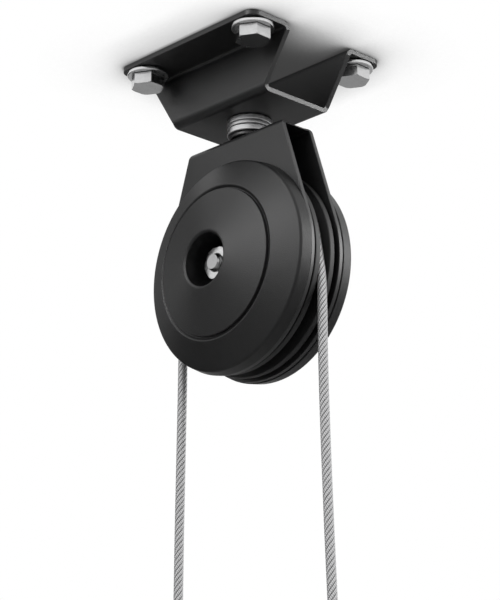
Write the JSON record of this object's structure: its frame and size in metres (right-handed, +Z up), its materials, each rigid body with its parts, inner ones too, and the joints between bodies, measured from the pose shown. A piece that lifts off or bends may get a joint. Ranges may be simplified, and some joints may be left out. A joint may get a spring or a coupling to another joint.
{
  "type": "ceiling-mounted swivel cable pulley",
  "caption": "Ceiling bracket with a swivelling yoke that carries a covered grooved wheel and a wire rope hanging from both sides of it.",
  "frame": {"origin": "middle of the bracket on the ceiling plane, where the swivel axis meets it", "axes": "+Z up into the ceiling, X along the bracket's channel and in the plane of the wheel, Y along the wheel's axle with the front cover at -Y"},
  "size_m": [0.1438, 0.1006, 0.4008],
  "materials": {
    "polished_steel": "polished",
    "zinc_plated_steel": "bright zinc plated",
    "black_powder_coat": "satin fine texture",
    "black_moulding": "matte fine grain",
    "black_nylon": "smooth turned",
    "rope_steel": "bare galvanised strands",
    "bronze": "oiled",
    "bearing_steel": "ground"
  },
  "bodies": {
    "bracket": {"ceiling_bracket": "black_powder_coat", "ceiling_bolt_1": "zinc_plated_steel", "ceiling_bolt_2": "zinc_plated_steel", "ceiling_bolt_3": "zinc_plated_steel", "ceiling_bolt_4": "zinc_plated_steel", "ceiling_washer_1": "zinc_plated_steel", "ceiling_washer_2": "zinc_plated_steel", "ceiling_washer_3": "zinc_plated_steel", "ceiling_washer_4": "zinc_plated_steel", "swivel_bush": "bronze", "upper_ring": "polished_steel", "thrust_lower_race": "bearing_steel"},
    "thrust_cage": {"thrust_ball_cage": "bronze"},
    "yoke": {"yoke": "black_powder_coat", "yoke_collar": "black_powder_coat", "lower_ring": "polished_steel", "middle_ring": "polished_steel", "thrust_upper_race": "bearing_steel", "swivel_nut_washer": "zinc_plated_steel", "swivel_lock_nut": "zinc_plated_steel", "swivel_head_washer": "zinc_plated_steel", "swivel_bolt": "zinc_plated_steel", "front_cover": "black_moulding", "rear_cover": "black_moulding", "front_cup": "black_moulding", "rear_cup": "black_moulding", "bearing_inner_race": "bearing_steel", "front_axle_spacer": "polished_steel", "rear_axle_spacer": "polished_steel", "axle_bolt": "zinc_plated_steel", "axle_nut": "zinc_plated_steel", "axle_nut_washer": "zinc_plated_steel", "axle_head_washer": "zinc_plated_steel", "cable_over_sheave": "rope_steel", "left_cable_run": "rope_steel", "right_cable_run": "rope_steel", "left_sleeve": "polished_steel", "right_sleeve": "polished_steel", "left_eye": "rope_steel", "right_eye": "rope_steel", "left_thimble": "zinc_plated_steel", "right_thimble": "zinc_plated_steel"},
    "sheave": {"sheave": "black_nylon", "bearing_outer_race": "bearing_steel"},
    "bearing_cage": {"bearing_ball_cage": "bronze"}
  },
  "joints": [
    {"name": "swivel", "type": "hinge", "parent": "bracket", "child": "yoke", "pos_m": [0, 0, 0], "axis": [0, 0, 1], "continuous": true},
    {"name": "thrust_cage_turn", "type": "hinge", "parent": "bracket", "child": "thrust_cage", "pos_m": [0, 0, 0], "axis": [0, 0, 1], "continuous": true},
    {"name": "sheave_spin", "type": "hinge", "parent": "yoke", "child": "sheave", "pos_m": [0, 0, -0.1234], "axis": [0, 1, 0], "continuous": true},
    {"name": "bearing_cage_turn", "type": "hinge", "parent": "yoke", "child": "bearing_cage", "pos_m": [0, 0, -0.1234], "axis": [0, 1, 0], "continuous": true}
  ],
  "couplings": [
    {"joint": "thrust_cage_turn", "follows": "swivel", "ratio": 0.5},
    {"joint": "bearing_cage_turn", "follows": "sheave_spin", "ratio": 0.6117}
  ]
}
